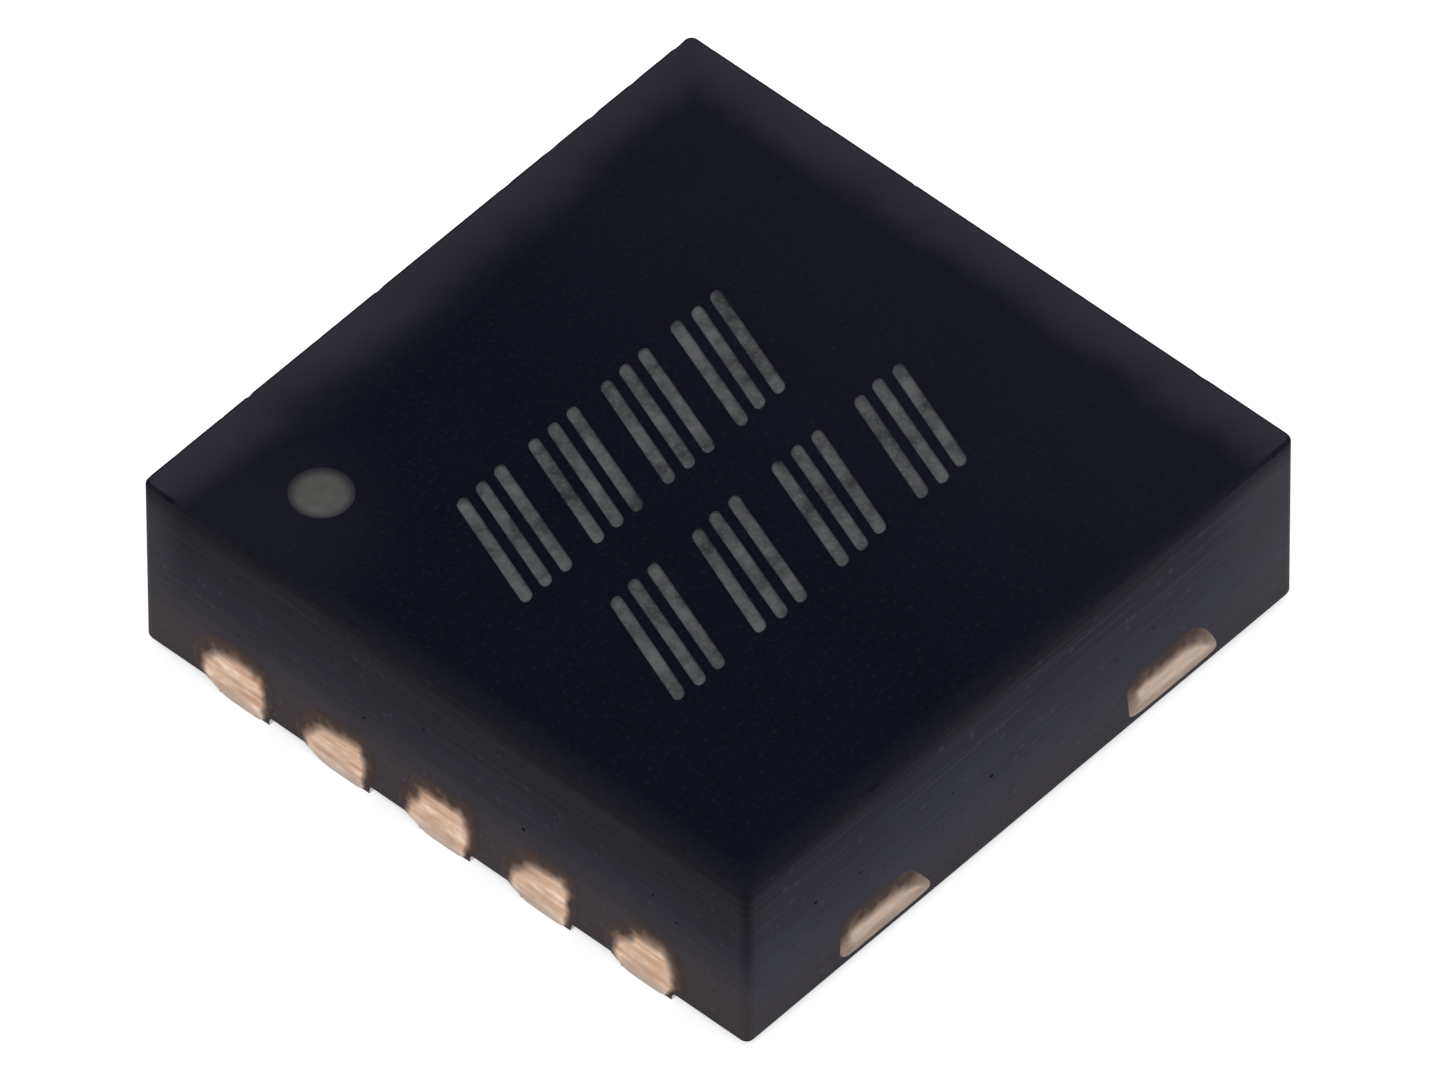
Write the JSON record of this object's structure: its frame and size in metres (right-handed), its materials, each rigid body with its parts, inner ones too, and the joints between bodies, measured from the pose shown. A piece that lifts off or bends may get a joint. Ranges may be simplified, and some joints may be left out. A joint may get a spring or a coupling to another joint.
{
  "type": "interface transceiver chip",
  "caption": "Square black leadless chip package with copper terminals flush along two sides, tie-bar ends on the other two, an exposed pad beneath and a round terminal-one dish on top.",
  "frame": {"origin": "centre of the seating plane, level with the undersides of the terminals and the exposed pad", "axes": "+Z out of the top face; X across the two rows of terminals; terminals one to five run from +Y to -Y on the -X side"},
  "size_m": [0.003, 0.003, 0.0009],
  "materials": {
    "mold_compound": "matte",
    "frame_copper": "satin",
    "silicon": "polished",
    "die_adhesive": "matte",
    "gold_wire": "polished"
  },
  "bodies": {
    "root": {"mold_body": "mold_compound", "exposed_pad": "frame_copper", "die_attach": "die_adhesive", "die": "silicon", "lead_1": "frame_copper", "lead_2": "frame_copper", "lead_3": "frame_copper", "lead_4": "frame_copper", "lead_5": "frame_copper", "lead_6": "frame_copper", "lead_7": "frame_copper", "lead_8": "frame_copper", "lead_9": "frame_copper", "lead_10": "frame_copper", "bond_wire_1": "gold_wire", "bond_wire_2": "gold_wire", "bond_wire_3": "gold_wire", "bond_wire_4": "gold_wire", "bond_wire_5": "gold_wire", "bond_wire_6": "gold_wire", "bond_wire_7": "gold_wire", "bond_wire_8": "gold_wire", "bond_wire_9": "gold_wire", "bond_wire_10": "gold_wire"}
  },
  "joints": []
}
